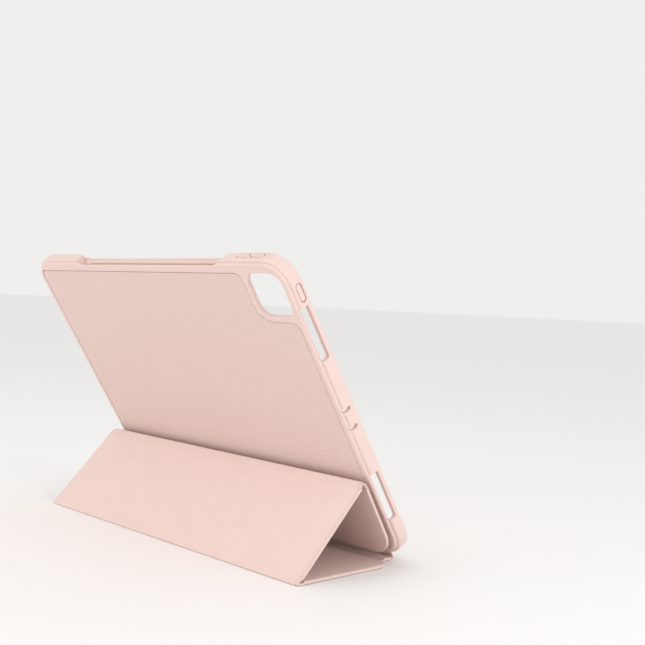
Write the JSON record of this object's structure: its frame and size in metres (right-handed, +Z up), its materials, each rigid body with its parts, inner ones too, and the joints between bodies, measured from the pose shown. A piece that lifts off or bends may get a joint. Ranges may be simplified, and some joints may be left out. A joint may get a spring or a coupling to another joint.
{
  "type": "tablet case",
  "caption": "Folding tablet case with a moulded tray, camera window, stylus trough and a trifold cover that folds behind it into a triangular stand.",
  "frame": {"origin": "middle of the standing case's footprint, on the table", "axes": "+X along the long side, away from the camera window's end; +Y towards the back, where the stand is; +Z up"},
  "size_m": [0.287, 0.1294, 0.1965],
  "materials": {
    "tpu": "matte moulded TPU",
    "pu_leather": "fine matte polyurethane leather",
    "lining": "short microfibre nap",
    "stiffener": "plain pressed board",
    "magnet": "nickel plated"
  },
  "bodies": {
    "tray": {"tray_frame": "tpu", "tray_lining": "lining", "back_board": "stiffener", "back_magnets": "magnet", "back_skin": "pu_leather", "back_hinge": "pu_leather"},
    "spine": {"spine_skin": "pu_leather", "spine_board": "stiffener", "spine_lining": "lining", "spine_hinge": "pu_leather"},
    "panel_1": {"panel_1_skin": "pu_leather", "panel_1_board": "stiffener", "panel_1_lining": "lining", "fold_1_hinge": "pu_leather"},
    "panel_2": {"panel_2_skin": "pu_leather", "panel_2_board": "stiffener", "panel_2_lining": "lining", "fold_2_hinge": "pu_leather"},
    "panel_3": {"panel_3_skin": "pu_leather", "panel_3_board": "stiffener", "panel_3_lining": "lining", "panel_3_magnets": "magnet", "wake_magnet": "magnet"},
    "power_key": {"power_button": "tpu"},
    "volume_up_key": {"volume_up_button": "tpu"},
    "volume_down_key": {"volume_down_button": "tpu"}
  },
  "joints": [
    {"name": "cover_hinge", "type": "hinge", "parent": "tray", "child": "spine", "pos_m": [0, -0.05733, 0.0014], "axis": [-1, 0, 0], "range_deg": [0, 213], "deforming": ["back_hinge"]},
    {"name": "spine_fold", "type": "hinge", "parent": "spine", "child": "panel_1", "pos_m": [0, -0.04483, 0.0014], "axis": [-1, 0, 0], "range_deg": [0, 90], "deforming": ["spine_hinge"]},
    {"name": "first_fold", "type": "hinge", "parent": "panel_1", "child": "panel_2", "pos_m": [0, 0.03837, 0.0014], "axis": [-1, 0, 0], "range_deg": [0, 133.73], "deforming": ["fold_1_hinge"]},
    {"name": "second_fold", "type": "hinge", "parent": "panel_2", "child": "panel_3", "pos_m": [0, -0.01445, 0.0566], "axis": [-1, 0, 0], "range_deg": [0, 104.47], "deforming": ["fold_2_hinge"]},
    {"name": "power_press", "type": "slide", "parent": "tray", "child": "power_key", "axis": [1, 0, 0], "range_m": [0, 0.0005], "stiffness_N_per_m": 1500, "springref_m": -0.0004},
    {"name": "volume_up_press", "type": "slide", "parent": "tray", "child": "volume_up_key", "axis": [0, -0.5446, -0.8387], "range_m": [0, 0.0005], "stiffness_N_per_m": 1500, "springref_m": -0.0004},
    {"name": "volume_down_press", "type": "slide", "parent": "tray", "child": "volume_down_key", "axis": [0, -0.5446, -0.8387], "range_m": [0, 0.0005], "stiffness_N_per_m": 1500, "springref_m": -0.0004}
  ],
  "couplings": [
    {"joint": "spine_fold", "follows": "cover_hinge", "ratio": 0.42254},
    {"joint": "first_fold", "follows": "cover_hinge", "ratio": 0.62785},
    {"joint": "second_fold", "follows": "cover_hinge", "ratio": 0.49046}
  ]
}
